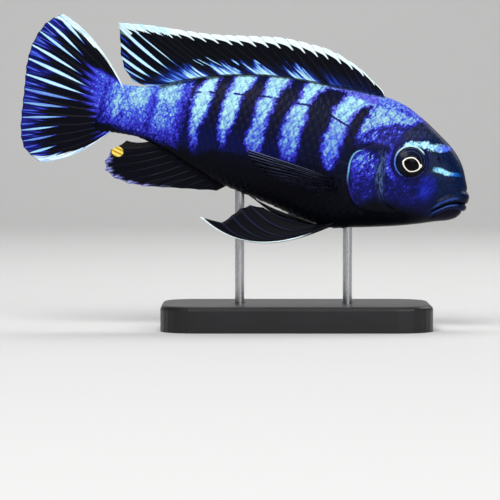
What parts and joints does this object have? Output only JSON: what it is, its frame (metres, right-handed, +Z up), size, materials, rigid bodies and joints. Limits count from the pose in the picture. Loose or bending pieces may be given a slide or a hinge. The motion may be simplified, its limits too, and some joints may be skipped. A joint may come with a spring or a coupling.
{
  "type": "saulosi cichlid fish",
  "caption": "Life-size male Chindongo saulosi, a small blue cichlid with black bars and spread fins, held level by two rods on a flat display base",
  "frame": {"origin": "centre of the stand's underside, on the surface that it stands on", "axes": "+X towards the fish's head, +Y towards its left side, +Z up"},
  "size_m": [0.0869, 0.03, 0.0609],
  "materials": {
    "skin_head": "wet-looking blue-violet skin",
    "skin_trunk": "wet-looking blue scales with black bars",
    "fin_dorsal": "black membrane with a white margin",
    "fin_caudal": "dark membrane with pale blue streaks",
    "fin_dark": "black membrane with pale leading edges",
    "fin_pectoral": "smoky see-through membrane",
    "eye": "glossy dark eye with a pale gold ring",
    "stand_base": "satin black",
    "stand_rod": "brushed"
  },
  "bodies": {
    "root": {"head": "skin_head", "trunk": "skin_trunk", "tail_peduncle": "skin_trunk", "dorsal_fin": "fin_dorsal", "caudal_fin": "fin_caudal", "anal_fin": "fin_dark", "pelvic_fin_right": "fin_dark", "pelvic_fin_left": "fin_dark", "pectoral_fin_right": "fin_pectoral", "pectoral_fin_left": "fin_pectoral", "eye_right": "eye", "eye_left": "eye", "stand_base": "stand_base", "stand_rod_front": "stand_rod", "stand_rod_rear": "stand_rod"}
  },
  "joints": []
}
